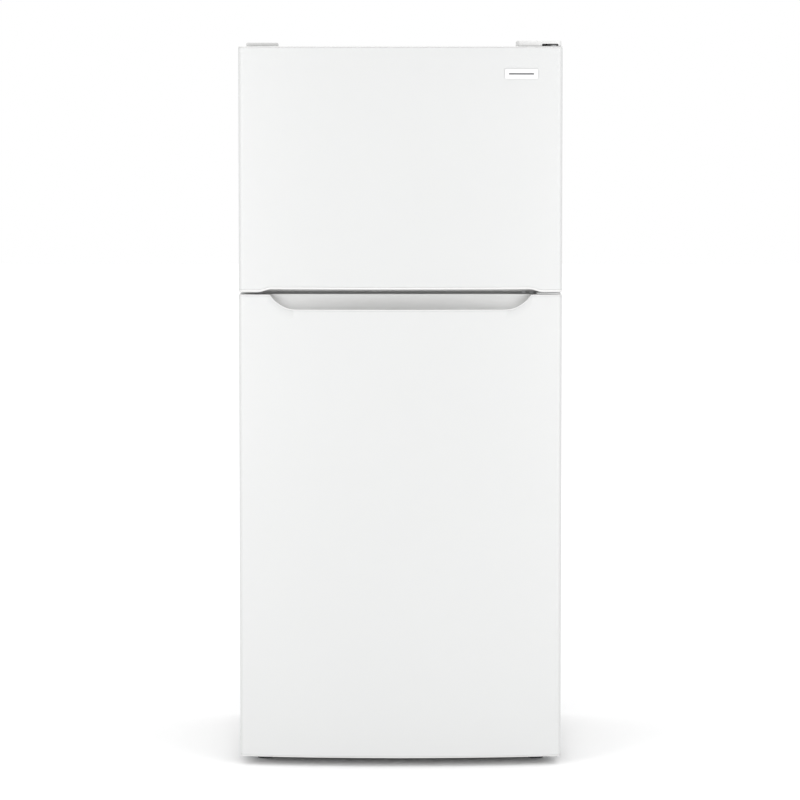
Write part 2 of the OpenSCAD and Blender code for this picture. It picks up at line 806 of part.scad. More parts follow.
module evaporator_coil() {
    hw = freezer_hw - 50;
    z0 = freezer_in_z0 + 26;
    z1 = duct_fan_z - duct_fan_r - 30;
    y0 = y_duct + 16;
    y1 = freezer_y1 - 8;
    fins = 26;
    rows = 4;
    row_z = (z1 - z0 - 50) / rows;
    color("silver") {
        for (i = [1:fins - 1])
            let (x = -hw + 14 + i * (2 * hw - 28) / fins) box(x - 0.4, y0, z0, x + 0.4, y1, z1);
        both_sides() box(hw - 15, y0, z0, hw - 13.5, freezer_y1, z1);
        for (j = [0:rows], k = [0, 1])
            rod_x(-hw, hw, y0 + 16 + k * 28, z0 + 25 + j * row_z, 4);
        for (j = [0:rows], s = [-1, 1])
            translate([s * hw, y0 + 30, z0 + 25 + j * row_z])
                rotate([0, 0, s > 0 ? -90 : 90])
                    rotate_extrude(angle = 180) translate([14, 0]) circle(r = 4);
    }
}

module evaporator_cover() {
    t = 2.5;
    color("white") difference() {
        union() {
            along_y(y_duct, y_duct + t)
                polygon(round_rect(-freezer_hw + 2, freezer_in_z0 + 2, freezer_hw - 2,
                                   freezer_in_z1 - 2, section_r - 2));
            rod_y(0, y_duct - 6, y_duct + t, duct_fan_z, duct_fan_r + 14);
        }
        // outlet slots in front of the fan
        for (i = [-4:4]) let (h = sqrt(pow(duct_fan_r + 4, 2) - pow(i * 11, 2)))
            box(i * 11 - 3.5, y_duct - 7, duct_fan_z - h, i * 11 + 3.5, y_duct + t + cut,
                duct_fan_z + h);
        // return slots along the bottom
        for (i = [-9:9])
            box(i * 28 - 9, y_duct - cut, freezer_in_z0 + 14, i * 28 + 9, y_duct + t + cut,
                freezer_in_z0 + 24);
        rod_y(0, y_duct - cut, y_duct + t + cut, knob_z, 3.1);
    }
}

module evaporator_fan() {
    color("whitesmoke") translate([0, y_duct + 28, duct_fan_z]) rotate([90, 0, 0])
        fan_blade(duct_fan_r, 15, 18, 4, 34);
}

module evaporator_fan_motor() {
    color("gray") {
        rod_y(0, y_duct + 34, y_duct + 58, duct_fan_z, 20);
        rod_y(0, y_duct + 12, y_duct + 35, duct_fan_z, 1.5);
        box(-duct_fan_r - 14, y_duct + 58, duct_fan_z - 9, duct_fan_r + 14, y_duct + 60,
            duct_fan_z + 9);
        both_sides() box(duct_fan_r + 11, y_duct + 2.5, duct_fan_z - 9, duct_fan_r + 14,
                         y_duct + 60, duct_fan_z + 9);
    }
}

// ---- Shelves, drawers and controls ----

module freezer_shelf() {
    hw = freezer_hw - 4;
    y0 = y_shelf;
    y1 = y_duct - 8;
    wires = 25;
    bar = wire_bar;
    wire = 1.5;
    color("white") {
        for (y = [y0 + bar, (y0 + y1) / 2, y1 - bar])
            translate([-hw, y, wire_z]) rotate([0, 90, 0])
                cylinder(h = 2 * hw, r = bar, $fn = 8);
        for (s = [-1, 1])
            translate([s * (hw - bar), y1, wire_z]) rotate([90, 0, 0])
                cylinder(h = y1 - y0, r = bar, $fn = 8);
        for (i = [0:wires - 1])
            translate([-hw + 16 + i * (2 * hw - 32) / (wires - 1), y1 - 1, wire_z + bar])
                rotate([90, 0, 0]) cylinder(h = y1 - y0 - 2, r = wire, $fn = 8);
        translate([-hw + 10, y0 + wire, wire_z + 14]) rotate([0, 90, 0])
            cylinder(h = 2 * hw - 20, r = wire, $fn = 8);
        for (i = [0:8])
            translate([-hw + 12 + i * (2 * hw - 24) / 8, y0 + wire, wire_z])
                cylinder(h = 14, r = wire, $fn = 8);
    }
}

shelf_tops = [lid_z1, shelf_low, shelf_high];
shelf_x = food_hw - shelf_side;
shelf_y1 = food_y1 - 6;

module shelf_frames() {
    color("white") for (z = shelf_tops) difference() {
        along_z(z - shelf_t, z) polygon(round_rect(-shelf_x, y_shelf, shelf_x, shelf_y1, 9));
        along_z(z - shelf_t - cut, z + cut)
            polygon(round_rect(-shelf_x + frame_w, y_shelf + frame_w, shelf_x - frame_w,
                               shelf_y1 - frame_w, 5));
        along_z(z - glass_t - 2, z - 2)
            polygon(round_rect(-shelf_x + frame_w - 6, y_shelf + frame_w - 6,
                               shelf_x - frame_w + 6, shelf_y1 - frame_w + 6, 5));
    }
}

module shelf_glass() {
    color("lightblue", 0.4) for (z = shelf_tops)
        along_z(z - glass_t - 2, z - 2)
            polygon(round_rect(-shelf_x + frame_w - 6, y_shelf + frame_w - 6,
                               shelf_x - frame_w + 6, shelf_y1 - frame_w + 6, 5));
}

module drawer_runners() {
    x_out = drawer_hw - 12;
    color("white") for (x = [-x_out, -14, 14, x_out])
        along_x(x - 4, x + 4)
            polygon([[y_shelf + 6, food_floor], [drawer_y1, food_floor],
                     [drawer_y1, food_floor + runner_h], [y_shelf + 12, food_floor + runner_h]]);
}

module drawer(x0, x1) {
    y0 = y_shelf + 6;
    color("aliceblue", 0.6) {
        tray(x0, y0, drawer_z0, x1, drawer_y1, drawer_z1, bin_t, 12);
        // grip lip along the front's top edge
        along_x(x0 + 14, x1 - 14)
            polygon([[y0 - 6, drawer_z1], [y0 + 1, drawer_z1], [y0 + 1, drawer_z1 - 4],
                     [y0 - 3, drawer_z1 - 4], [y0 - 3, drawer_z1 - 20],
                     [y0 - 6, drawer_z1 - 20]]);
    }
}

module left_drawer() drawer(-drawer_hw, -drawer_gap / 2);
module right_drawer() drawer(drawer_gap / 2, drawer_hw);

control_hw = 150;
lamp_x = 65;
lamp_y1 = y_control + 26;
lamp_z = (control_z0 + food_z1) / 2 + 2;
switch_x = food_dyke_hw - 50;
switch_z = food_z1 - 24;
switch_y = dyke_tip + 18;

module control_housing() {
    t = 2.5;
    z1 = food_z1;
    color("white") difference() {
        union() {
            box(-control_hw, y_control, control_z0, control_hw, y_control + 210, z1);
            box(control_hw - 4, y_control, z1 - 38, switch_x + 15, y_control + 40, z1);
            box(switch_x - 15, switch_y, z1 - 38, switch_x + 15, y_control + 40, z1);
        }
        box(-control_hw + t, y_control + t, control_z0 + t, control_hw - t,
            y_control + 210 - t, z1 + cut);
        box(switch_x - 12, switch_y + 3, z1 - 35, switch_x + 12, y_control + 37, z1 + cut);
        rod_y(switch_x, switch_y - cut, switch_y + 3 + cut, switch_z, 5 + running);
        rod_y(-90, y_control - cut, y_control + t + cut, z1 - 32, 3.1);
        box(6, y_control - cut, control_z0 + 12, 124, y_control + t + cut, z1 - 8);
    }
    // lamp socket on its post
    color("white") {
        rod_y(lamp_x, lamp_y1, lamp_y1 + 30, lamp_z, 14);
        box(lamp_x - 8, lamp_y1 + 8, control_z0 + t / 2, lamp_x + 8, lamp_y1 + 14, lamp_z);
    }
}

module lamp_lens() {
    x1 = 130;
    z0 = control_z0 + 8;
    z1 = food_z1 - 4;
    y0 = y_control - 34;
    color("white", 0.7) difference() {
        along_x(0, x1)
            polygon([[y_control, z0], [y_control, z1], [y0 + 8, z1], [y0, z1 - 8],
                     [y0 + 6, z0]]);
        along_x(2, x1 - 2)
            polygon([[y_control + cut, z0 + 2], [y_control + cut, z1 - 2],
                     [y0 + 9, z1 - 2], [y0 + 2, z1 - 9], [y0 + 8, z0 + 2]]);
    }
}

module lamp() {
    color("lightyellow") translate([lamp_x, lamp_y1 - 50, lamp_z]) rotate([-90, 0, 0])
        rotate_extrude() polygon([[0, 0], [8, 2], [14, 8], [15, 16], [11, 24], [11, 50],
                                  [0, 50]]);
}

// A round knob with a grip ridge, its shaft behind it along +Y
module knob(x, y0, z, r, depth) {
    translate([x, y0, z]) {
        rotate([90, 0, 0]) cylinder(h = depth - 6, r = r);
        rotate([90, 0, 0]) cylinder(h = 3, r = r + 3);
        box(-2.5, -depth, -r + 3, 2.5, -depth + 7, r - 3);
        rod_y(0, -2, 8, 0, 3);
    }
}

module temperature_knob() {
    color("white") knob(-90, y_control - 0.5, food_z1 - 32, 17, 15);
}

module freezer_knob() {
    color("white") knob(0, y_duct - 0.5, knob_z, 18, 18);
}

module light_switch() {
    color("white") {
        rod_y(switch_x, dyke_tip + seal_gap, switch_y + 20, switch_z, 5);
        rod_y(switch_x, switch_y + 16, switch_y + 20, switch_z, 8);
    }
}

// ---- Doors ----

module skin_of(z0, z1) {
    difference() {
        along_z(z0, z1) polygon(door_plan(0, y_door));
        along_z(z0 - cut, z1 + cut) polygon(door_plan(steel_t, y_door - steel_t));
        box(-half_w + return_w, y_door - 2, z0 - cut, half_w - return_w, y_door + cut,
            z1 + cut);
    }
}

// The scoop in the fridge door's top edge, grown by g
module scoop(g) {
    rim_y = y_edge + 18 + g;
    z0 = fridge_z1 - scoop_h - g;
    far = y_bow - 10;
    curve = [for (i = [0:6]) let (a = 90 * i / 6)
        [y_bow + (rim_y - y_bow) * sin(a) , z0 + (fridge_z1 - z0) * (1 - cos(a))]];
    intersection() {
        along_x(-half_w, half_w)
            polygon(concat([[far, z0]], curve, [[rim_y, fridge_z1 + 10], [far, fridge_z1 + 10]]));
        along_y(far, y_door)
            polygon([[-scoop_w / 2 - g, fridge_z1 + 10], [-scoop_w / 2 - g, fridge_z1],
                     [-scoop_floor_w / 2 - g - 6, z0 + 3], [-scoop_floor_w / 2 - g, z0],
                     [scoop_floor_w / 2 + g, z0], [scoop_floor_w / 2 + g + 6, z0 + 3],
                     [scoop_w / 2 + g, fridge_z1], [scoop_w / 2 + g, fridge_z1 + 10]]);
    }
}

// The finger pocket behind the scoop's rim, grown by g
module fridge_pocket(g) {
    box(-pocket_w / 2 - g, y_edge + 22 - g, fridge_z1 - pocket_h - g, pocket_w / 2 + g,
        y_cap_back - 6 + g, fridge_z1 + cut);
}

// The low arch under the freezer door, grown by g
module arch(g) {
    ramp = 30;
    w = scoop_w / 2 + 26;
    along_y(y_bow - 10, y_cap_back - 12 + g)
        polygon([[-w - g, freezer_z0 - cut], [-w - g, freezer_z0],
                 [-w + ramp - g, freezer_z0 + arch_h + g],
                 [w - ramp + g, freezer_z0 + arch_h + g], [w + g, freezer_z0],
                 [w + g, freezer_z0 - cut]]);
}

// The finger pocket behind the freezer door's lip, which follows the bow, grown by g
module freezer_pocket(g) {
    w = pocket_w / 2 + 40 + g;
    intersection() {
        along_z(freezer_z0 - cut, freezer_z0 + pocket_h + g)
            polygon(door_plan(min(lip_t, door_edge_r - 1) - g, y_cap_back - 12 + g));
        box(-w, y_bow, 0, w, y_door, z_cab);
    }
}

module hinge_bore(z0, z1) {
    rod_z(hinge_x, hinge_y, z0 - cut, z1 + cut, bore_r);
}

// A plain end cap: a plate at one end with a skirt and a hinge boss
module plain_cap(z0, z1, plate_up) {
    wall = 2.5;
    difference() {
        union() {
            difference() {
                along_z(z0, z1) polygon(door_plan(steel_t, y_cap_back));
                along_z(plate_up ? z0 - cut : z0 + wall, plate_up ? z1 - wall : z1 + cut)
                    polygon(door_plan(steel_t + wall, y_cap_back - wall));
            }
            rod_z(hinge_x, hinge_y, z0, z1, bore_r + 4);
        }
        hinge_bore(z0, z1);
    }
}

module freezer_door_top_cap() {
    color("white") plain_cap(freezer_z1 - cap_h, freezer_z1, true);
}

module fridge_door_bottom_cap() {
    color("white") plain_cap(fridge_z0, fridge_z0 + cap_h, false);
}

module freezer_door_bottom_cap() {
    wall = 2.5;
    z1 = freezer_z0 + grip_cap_h;
    color("white") difference() {
        union() {
            difference() {
                along_z(freezer_z0, z1) polygon(door_plan(steel_t, y_cap_back));
                difference() {
                    along_z(freezer_z0 + wall, z1 + cut)
                        polygon(door_plan(steel_t + wall, y_cap_back - wall));
                    arch(wall);
                    freezer_pocket(wall);
                }
            }
            rod_z(hinge_x, hinge_y, freezer_z0, z1, bore_r + 4);
        }
        arch(0);
        freezer_pocket(0);
        hinge_bore(freezer_z0, z1);
    }
}

module fridge_door_top_cap() {
    wall = 2.5;
    z0 = fridge_z1 - grip_cap_h;
    color("white") difference() {
        union() {
            difference() {
                along_z(z0, fridge_z1) polygon(door_plan(steel_t, y_cap_back));
                difference() {
                    along_z(z0 - cut, fridge_z1 - wall)
                        polygon(door_plan(steel_t + wall, y_cap_back - wall));
                    scoop(wall);
                    fridge_pocket(wall);
                }
            }
            rod_z(hinge_x, hinge_y, z0, fridge_z1, bore_r + 4);
        }
        scoop(0);
        fridge_pocket(0);
        hinge_bore(z0, fridge_z1);
    }
}

module freezer_door_skin() {
    color("white") difference() {
        skin_of(freezer_z0, freezer_z1);
        arch(0);
    }
}

module fridge_door_skin() {
    color("white") difference() {
        skin_of(fridge_z0, fridge_z1);
        scoop(0);
    }
}

module door_foam(z0, z1) {
    color("khaki") along_z(z0, z1) polygon(door_plan(steel_t, y_liner_back));
}

module freezer_door_foam() door_foam(freezer_z0 + grip_cap_h, freezer_z1 - cap_h);
module fridge_door_foam() door_foam(fridge_z0 + cap_h, fridge_z1 - grip_cap_h);

// A door liner: a flat flange, a hollow raised rim and a sunk middle panel
module door_liner(z0, z1, hw, dyke_z0, dyke_z1, lug_zs) {
    t = liner_face_t;
    hx = half_w - return_w - 0.5;
    r = 14;
    panel_r = 4;
    difference() {
        union() {
            box(-hx, y_door - t, z0, hx, y_door, z1);
            along_y(y_liner_back, dyke_tip)
                polygon(round_rect(-hw, dyke_z0, hw, dyke_z1, r));
        }
        along_y(y_liner_back + t, dyke_tip + cut)
            polygon(round_rect(-hw + dyke_w, dyke_z0 + dyke_w, hw - dyke_w, dyke_z1 - dyke_w,
                               panel_r));
        // hollow behind the raised rim
        difference() {
            along_y(y_liner_back - cut, dyke_tip - t)
                polygon(round_rect(-hw + t, dyke_z0 + t, hw - t, dyke_z1 - t, r - t));
            along_y(y_liner_back - 2 * cut, dyke_tip)
                polygon(round_rect(-hw + dyke_w - t, dyke_z0 + dyke_w - t, hw - dyke_w + t,
                                   dyke_z1 - dyke_w + t, panel_r + t));
        }
    }
    for (z = lug_zs) both_sides()
        box(hw - dyke_w - 3, y_bins + 12, z - 6, hw - dyke_w + 1, dyke_tip - 14, z);
}

module freezer_door_liner() {
    color("white") door_liner(freezer_z0 + 1, freezer_z1 - 1, freezer_dyke_hw,
                              freezer_dyke_z0, freezer_dyke_z1, freezer_bin_zs);
}

module fridge_door_liner() {
    color("white") door_liner(fridge_z0 + 1, fridge_z1 - 1, food_dyke_hw,
                              food_dyke_z0, food_dyke_z1, concat(food_bin_zs, [dairy_z]));
}

module gasket(z0, z1) {
    color("lightgray")
        frame_y(-gasket_x, z0, gasket_x, z1, gasket_w, 8, y_door, y_cab - seal_gap);
}

module freezer_door_gasket() gasket(freezer_z0 + gasket_edge, freezer_z1 - gasket_edge);
module fridge_door_gasket() gasket(food_gasket_z0, fridge_z1 - gasket_edge);

// An open bin hung between a door liner's rims, with a front rail
module door_bin(hw, z, h) {
    x = hw - dyke_w - bin_side;
    corner_r = 5;
    tray(-x, y_bins + 1, z, x, y_bin_tip, z + h, bin_t, corner_r);
    along_x(-x + 16, x - 16)
        polygon([[y_bin_tip - 1, z + h - 10], [y_bin_tip + 2, z + h - 8],
                 [y_bin_tip + 2, z + h - 1], [y_bin_tip - 1, z + h]]);
}

module freezer_door_bins() {
    color("aliceblue", 0.7) for (z = freezer_bin_zs) door_bin(freezer_dyke_hw, z, bin_h);
}

module fridge_door_bins() {
    color("aliceblue", 0.7) {
        door_bin(food_dyke_hw, food_bin_zs[0], tall_bin_h);
        door_bin(food_dyke_hw, food_bin_zs[1], bin_h);
        door_bin(food_dyke_hw, food_bin_zs[2], bin_h);
        dairy_bin();
    }
}

// The dairy box at the top: a shallow tray, end walls and a roof, with bosses for the flap
module dairy_bin() {
    x0 = flap_x0;
    x1 = flap_x1;
    difference() {
        union() {
            tray(x0, y_bins, dairy_z, x1, flap_y - slip, dairy_z + 16, bin_t, 6);
            box(x0, y_bins, flap_z + 3, x1, flap_y, flap_z + 5);
            for (x = [x0, x1 - bin_t]) {
                box(x, y_bins, dairy_z + 6, x + bin_t, flap_y + 2, flap_z + 5);
                rod_x(x, x + bin_t, flap_y, flap_z, flap_pin_r + 2.5);
            }
        }
        rod_x(x0 - cut, x1 + cut, flap_y, flap_z, flap_pin_r + running);
    }
}

module dairy_flap() {
    x0 = flap_x0 + bin_t + slip;
    x1 = flap_x1 - bin_t - slip;
    color("aliceblue", 0.7) {
        box(x0, flap_y, flap_z - flap_h, x1, flap_y + flap_t, flap_z);
        rod_x(flap_x0 + 0.5, flap_x1 - 0.5, flap_y, flap_z, flap_pin_r);
        box(x0 + 60, flap_y + flap_t - cut, flap_z - flap_h, x1 - 60, flap_y + 7,
            flap_z - flap_h + 3);
    }
}

// A flat plate whose back follows the door's bow
module badge_plate() {
    badge_w = 78;
    badge_h = 23;
    badge_t = 2.6;
    z1 = freezer_z1 - 52;
    mid = half_w - 57 - badge_w / 2;
    color("white") difference() {
        translate([mid, front_y(mid), 0]) rotate([0, 0, asin(mid / bow_r)])
            along_y(-badge_t, badge_t)
                polygon(round_rect(-badge_w / 2, z1 - badge_h, badge_w / 2, z1, 3));
        along_z(z1 - badge_h - cut, z1 + cut) polygon(door_plan(0, y_door));
    }
}

cabinet_shell();
back_panel();
step_panel();
cabinet_foam();
freezer_liner();
fresh_food_liner();
divider_cover();
base_frame();
toe_grille();
roller_axles();
bottom_hinge();
centre_hinge();
top_hinge();
top_hinge_cover();
hinge_hole_cap();
screws();
compressor();
compressor_grommets();
condenser_coil();
condenser_fan_motor();
drain_pan();
rear_cover();
evaporator_coil();
evaporator_cover();
evaporator_fan_motor();
freezer_shelf();
shelf_frames();
shelf_glass();
drawer_runners();
control_housing();
lamp_lens();
lamp();
refrigerant_tubes();
temperature_knob();
freezer_knob();
light_switch();
condenser_fan();
evaporator_fan();
left_drawer();
right_drawer();
mirror([1, 0, 0]) leveling_leg();  // left_leveling_leg
leveling_leg();  // right_leveling_leg
mirror([1, 0, 0]) roller();  // left_roller
roller();  // right_roller
freezer_door_skin();
freezer_door_foam();
freezer_door_liner();
freezer_door_gasket();
freezer_door_top_cap();
freezer_door_bottom_cap();
freezer_door_bins();
badge_plate();
fridge_door_skin();
fridge_door_foam();
fridge_door_liner();
fridge_door_gasket();
fridge_door_top_cap();
fridge_door_bottom_cap();
fridge_door_bins();
dairy_flap();
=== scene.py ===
# %% [markdown]
# # A top freezer refrigerator
# The refrigerator is a steel box lined with plastic, with two doors that hang on pins at the
# right. The frame gives each solid at its true size and place. This notebook gives them
# rolled edges, moulded corners and finishes.
#
# Two ways of working are used. A solid whose shape is already right keeps it, and only gets
# softer edges and a finish. A pressed, moulded or formed skin is built anew from rings of
# points, and stands in for the solid it covers.

import math

import bmesh
import bpy
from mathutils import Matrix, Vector


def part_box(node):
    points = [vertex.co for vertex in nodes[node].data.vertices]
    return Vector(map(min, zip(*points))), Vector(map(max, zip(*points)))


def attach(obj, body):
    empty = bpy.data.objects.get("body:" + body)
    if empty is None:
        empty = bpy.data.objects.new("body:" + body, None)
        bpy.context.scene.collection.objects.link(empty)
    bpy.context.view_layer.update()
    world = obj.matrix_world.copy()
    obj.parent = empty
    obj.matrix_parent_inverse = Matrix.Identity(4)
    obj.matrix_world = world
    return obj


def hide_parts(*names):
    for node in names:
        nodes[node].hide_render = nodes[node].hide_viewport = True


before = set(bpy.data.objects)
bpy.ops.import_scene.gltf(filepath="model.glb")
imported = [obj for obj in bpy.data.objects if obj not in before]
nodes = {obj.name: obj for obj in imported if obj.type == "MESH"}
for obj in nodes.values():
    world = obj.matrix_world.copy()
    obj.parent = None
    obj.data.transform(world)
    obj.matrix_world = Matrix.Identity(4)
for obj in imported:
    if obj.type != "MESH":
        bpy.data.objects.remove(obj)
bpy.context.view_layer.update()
mm = 0.001

# %% [markdown]
# ## Writing a finish
# A finish is a material whose colour, gloss and bumps come from noise in the object's own
# coordinates, so that it needs no map laid over the surface. Each sum in it could be a node
# placed by hand. A small class that stands for a socket makes the sums readable instead,
# because `0.3 + 0.1 * speckle` says more than four nodes do.

# %% Sockets that can be added and scaled
class Amount:
    """One output of a finish's nodes, which can be added to and scaled by a number."""

    def __init__(self, finish, socket):
        self.finish, self.socket = finish, socket

    def _sum(self, operation, a, b):
        return self.finish.node("ShaderNodeMath", {"operation": operation}, {0: a, 1: b})

    def __add__(self, other):
        return self._sum("ADD", self, other)

    def __radd__(self, other):
        return self._sum("ADD", other, self)

    def __rmul__(self, other):
        return self._sum("MULTIPLY", other, self)


class Finish:
    """A material with one Principled shader. fixed holds what is the same all over."""

    def __init__(self, name, **fixed):
        self.material = bpy.data.materials.new(name)
        self.material.use_nodes = True
        self.tree = self.material.node_tree
        self.shader = self.tree.nodes["Principled BSDF"]
        for key, value in fixed.items():
            self.shader.inputs[key.replace("_", " ")].default_value = value
        self.place = self.node("ShaderNodeTexCoord", output="Object")

    def node(self, kind, settings=None, values=None, output=0):
        made = self.tree.nodes.new(kind)
        for key, value in (settings or {}).items():
            setattr(made, key, value)
        for key, value in (values or {}).items():
            if isinstance(value, Amount):
                self.tree.links.new(value.socket, made.inputs[key])
            else:
                made.inputs[key].default_value = value
        return Amount(self, made.outputs[output])

    def noise(self, per_metre, detail=2.0, stretch=None):
        place = self.place
        if stretch:
            place = self.node("ShaderNodeMapping", None, {0: place, "Scale": stretch})
        return self.node("ShaderNodeTexNoise", None,
                         {"Vector": place, "Scale": per_metre, "Detail": detail})

    def cells(self, per_metre, output="Distance"):
        return self.node("ShaderNodeTexVoronoi", None,
                         {"Vector": self.place, "Scale": per_metre}, output)

    def blend(self, amount, first, second):
        """A colour mix. Its colours are sockets 6 and 7, and its result is output 2."""
        return self.node("ShaderNodeMix", {"data_type": "RGBA"},
                         {0: amount, 6: (*first, 1), 7: (*second, 1)}, output=2)

    def feed(self, **varying):
        for key, value in varying.items():
            self.tree.links.new(value.socket, self.shader.inputs[key.replace("_", " ")])
        return self

    def bump(self, height, depth, strength=1.0):
        made = self.node("ShaderNodeBump", None,
                         {"Height": height, "Distance": depth, "Strength": strength})
        return self.feed(Normal=made)


print("finishes are written with", Finish.__name__, "and", Amount.__name__)

# %% [markdown]
# ## White finishes
# The doors are coil-coated steel: a hard enamel with a faint orange peel and a soft sheen.
# The cabinet's steel is embossed with a fine leather grain that hides finger marks. The
# liners are a warmer, satin plastic, and moulded trims have a spark-eroded grain.
# Painting them all one white would lose the difference, so each has its own colour, gloss
# and bump. The trims' white is also set lighter than the doors' enamel as painted light,
# to brighten the shaded scoop between the doors.

# %% Enamel on the doors, and grained enamel on the cabinet
def door_enamel():
    f = Finish("door_enamel", Coat_Weight=0.12, Coat_Roughness=0.2)
    drift = f.noise(2.2, 1)
    peel = f.noise(300, 1.5)
    f.feed(Base_Color=f.blend(drift, (0.532, 0.536, 0.534), (0.546, 0.550, 0.548)),
           Roughness=0.40 + 0.06 * peel)
    return f.bump(peel, 0.00005, 0.35).material


def cabinet_enamel():
    f = Finish("cabinet_enamel", Coat_Weight=0.15, Coat_Roughness=0.25)
    drift = f.noise(1.7, 2)
    grain = f.cells(520) + 0.5 * f.noise(700, 2)
    f.feed(Base_Color=f.blend(drift, (0.57, 0.573, 0.57), (0.59, 0.592, 0.59)),
           Roughness=0.38 + 0.10 * grain)
    return f.bump(grain, 0.00012, 0.45).material


def liner_plastic():
    f = Finish("liner_plastic", Subsurface_Weight=0.04)
    drift = f.noise(3, 2)
    haze = f.noise(160, 3)
    f.feed(Base_Color=f.blend(drift, (0.66, 0.665, 0.655), (0.69, 0.692, 0.68)),
           Roughness=0.26 + 0.10 * haze)
    return f.bump(haze, 0.00004, 0.3).material


def moulded_white(name, low, high, grain_depth):
    f = Finish(name, Coat_Weight=0.05)
    drift = f.noise(14, 2)
    grain = f.noise(900, 2)
    f.feed(Base_Color=f.blend(drift, low, high), Roughness=0.36 + 0.14 * grain)
    return f.bump(grain, grain_depth, 0.4).material


enamel = door_enamel()
grained = cabinet_enamel()
liner_white = liner_plastic()
# The trims' white is partly their own colour and partly painted light: it is lighter than the
# door enamel so that the shaded scoop comes out brighter.
trim_white_and_painted_light = moulded_white("trim_white_and_painted_light", (0.60, 0.60, 0.595), (0.62, 0.62, 0.615), 0.00004)
knob_white = moulded_white("knob_white", (0.77, 0.77, 0.75), (0.80, 0.80, 0.78), 0.00003)
badge_white = moulded_white("badge_white", (0.66, 0.66, 0.66), (0.68, 0.68, 0.68), 0.00001)
print("white finishes:", enamel.name, grained.name, liner_white.name, trim_white_and_painted_light.name)

# %% [markdown]
# ## Metals
# Galvanised sheet has spangles, flat crystals of zinc that each catch the light their own
# way, which Voronoi cells give. Drawn copper tarnishes in patches, and fin stock is nearly
# plain. The shells of the compressor and coil are dipped in black paint.

# %% Zinc, copper, aluminium and black paint
def zinc_sheet():
    f = Finish("zinc_sheet", Metallic=0.9)
    spangle = f.cells(90, "Color")
    scratch = f.noise(40, 3, (1, 1, 14))
    f.feed(Base_Color=f.blend(spangle, (0.50, 0.51, 0.52), (0.66, 0.67, 0.68)),
           Roughness=0.36 + 0.20 * scratch)
    return f.bump(scratch, 0.00003, 0.3).material


def tarnished(name, bright, dull, roughness):
    f = Finish(name, Metallic=1.0)
    patch = f.noise(35, 4)
    f.feed(Base_Color=f.blend(patch, bright, dull), Roughness=roughness + 0.2 * patch)
    return f.bump(f.noise(600, 2), 0.00002, 0.3).material


def dipped_black():
    f = Finish("dipped_black", Coat_Weight=0.2)
    run = f.noise(30, 3, (1, 1, 0.3))
    f.feed(Base_Color=f.blend(run, (0.010, 0.010, 0.011), (0.030, 0.030, 0.031)),
           Roughness=0.32 + 0.22 * run)
    return f.bump(f.noise(260, 3), 0.00010, 0.4).material


zinc = zinc_sheet()
copper = tarnished("copper_tube", (0.72, 0.36, 0.22), (0.42, 0.20, 0.13), 0.28)
fin_stock = tarnished("fin_stock", (0.82, 0.83, 0.84), (0.70, 0.71, 0.73), 0.30)
plated = tarnished("plated_steel", (0.74, 0.74, 0.75), (0.60, 0.60, 0.61), 0.25)
black_paint = dipped_black()
print("metals:", zinc.name, copper.name, fin_stock.name, plated.name, black_paint.name)

# %% [markdown]
# ## Clear plastic, glass, vinyl and rubber
# Crystal plastic and shelf glass let the things behind them show. Real refraction through
# many walls is slow to trace, and the walls here are thin, so the clear plastic mixes a
# little white haze into its transmission. Toughened glass looks green where it is thick.

# %% See-through and soft finishes
def clear_plastic():
    f = Finish("clear_plastic", Transmission_Weight=0.82, IOR=1.49)
    haze = f.noise(60, 2)
    f.feed(Base_Color=f.blend(haze, (0.90, 0.94, 0.96), (0.95, 0.97, 0.98)),
           Roughness=0.05 + 0.08 * haze)
    return f.bump(f.noise(25, 1), 0.00008, 0.2).material


def shelf_pane():
    f = Finish("shelf_pane", Transmission_Weight=0.93, IOR=1.5)
    smear = f.noise(18, 3)
    f.feed(Base_Color=f.blend(smear, (0.93, 0.985, 0.965), (0.95, 0.99, 0.975)),
           Roughness=0.01 + 0.04 * smear)
    return f.material


def frosted_glass():
    f = Finish("frosted_glass", Transmission_Weight=0.6, Emission_Strength=0.3)
    frost = f.noise(500, 2)
    f.shader.inputs["Emission Color"].default_value = (1, 0.93, 0.82, 1)
    f.feed(Base_Color=f.blend(frost, (0.94, 0.93, 0.90), (0.98, 0.97, 0.95)),
           Roughness=0.35 + 0.2 * frost)
    return f.bump(frost, 0.00003, 0.5).material


def soft(name, low, high, roughness, depth, per_metre=380):
    f = Finish(name)
    mottle = f.noise(24, 3)
    grain = f.noise(per_metre, 3)
    f.feed(Base_Color=f.blend(mottle, low, high), Roughness=roughness + 0.15 * grain)
    return f.bump(grain, depth, 0.5).material


crystal = clear_plastic()
pane = shelf_pane()
bulb_glass = frosted_glass()
vinyl = soft("seal_vinyl", (0.70, 0.70, 0.69), (0.76, 0.76, 0.75), 0.5, 0.00006)
rubber = soft("black_rubber", (0.018, 0.018, 0.018), (0.03, 0.03, 0.03), 0.7, 0.00012)
dark_plastic = soft("dark_plastic", (0.035, 0.035, 0.037), (0.055, 0.055, 0.058), 0.45, 0.00005)
rigid_foam = soft("rigid_foam", (0.62, 0.50, 0.26), (0.72, 0.60, 0.34), 0.8, 0.0004,
                  per_metre=900)
wire_coat = soft("wire_coat", (0.84, 0.84, 0.83), (0.88, 0.88, 0.87), 0.25, 0.00003)
print_grey = soft("print_grey", (0.085, 0.088, 0.092), (0.11, 0.113, 0.118), 0.4, 0.00001)
print("clear and soft finishes:", crystal.name, pane.name, vinyl.name, rubber.name)

# %% [markdown]
# ## Making pieces
# A pressed or formed skin is a stack of rings that all have the same number of points,
# joined by four-sided faces. It could also be a block cut with booleans, but rings put a
# real radius on each edge and leave a clean mesh behind.

# %% Pieces from points, and rings joined into skins
weld_dist, thin_edge = 2e-6, 1e-7


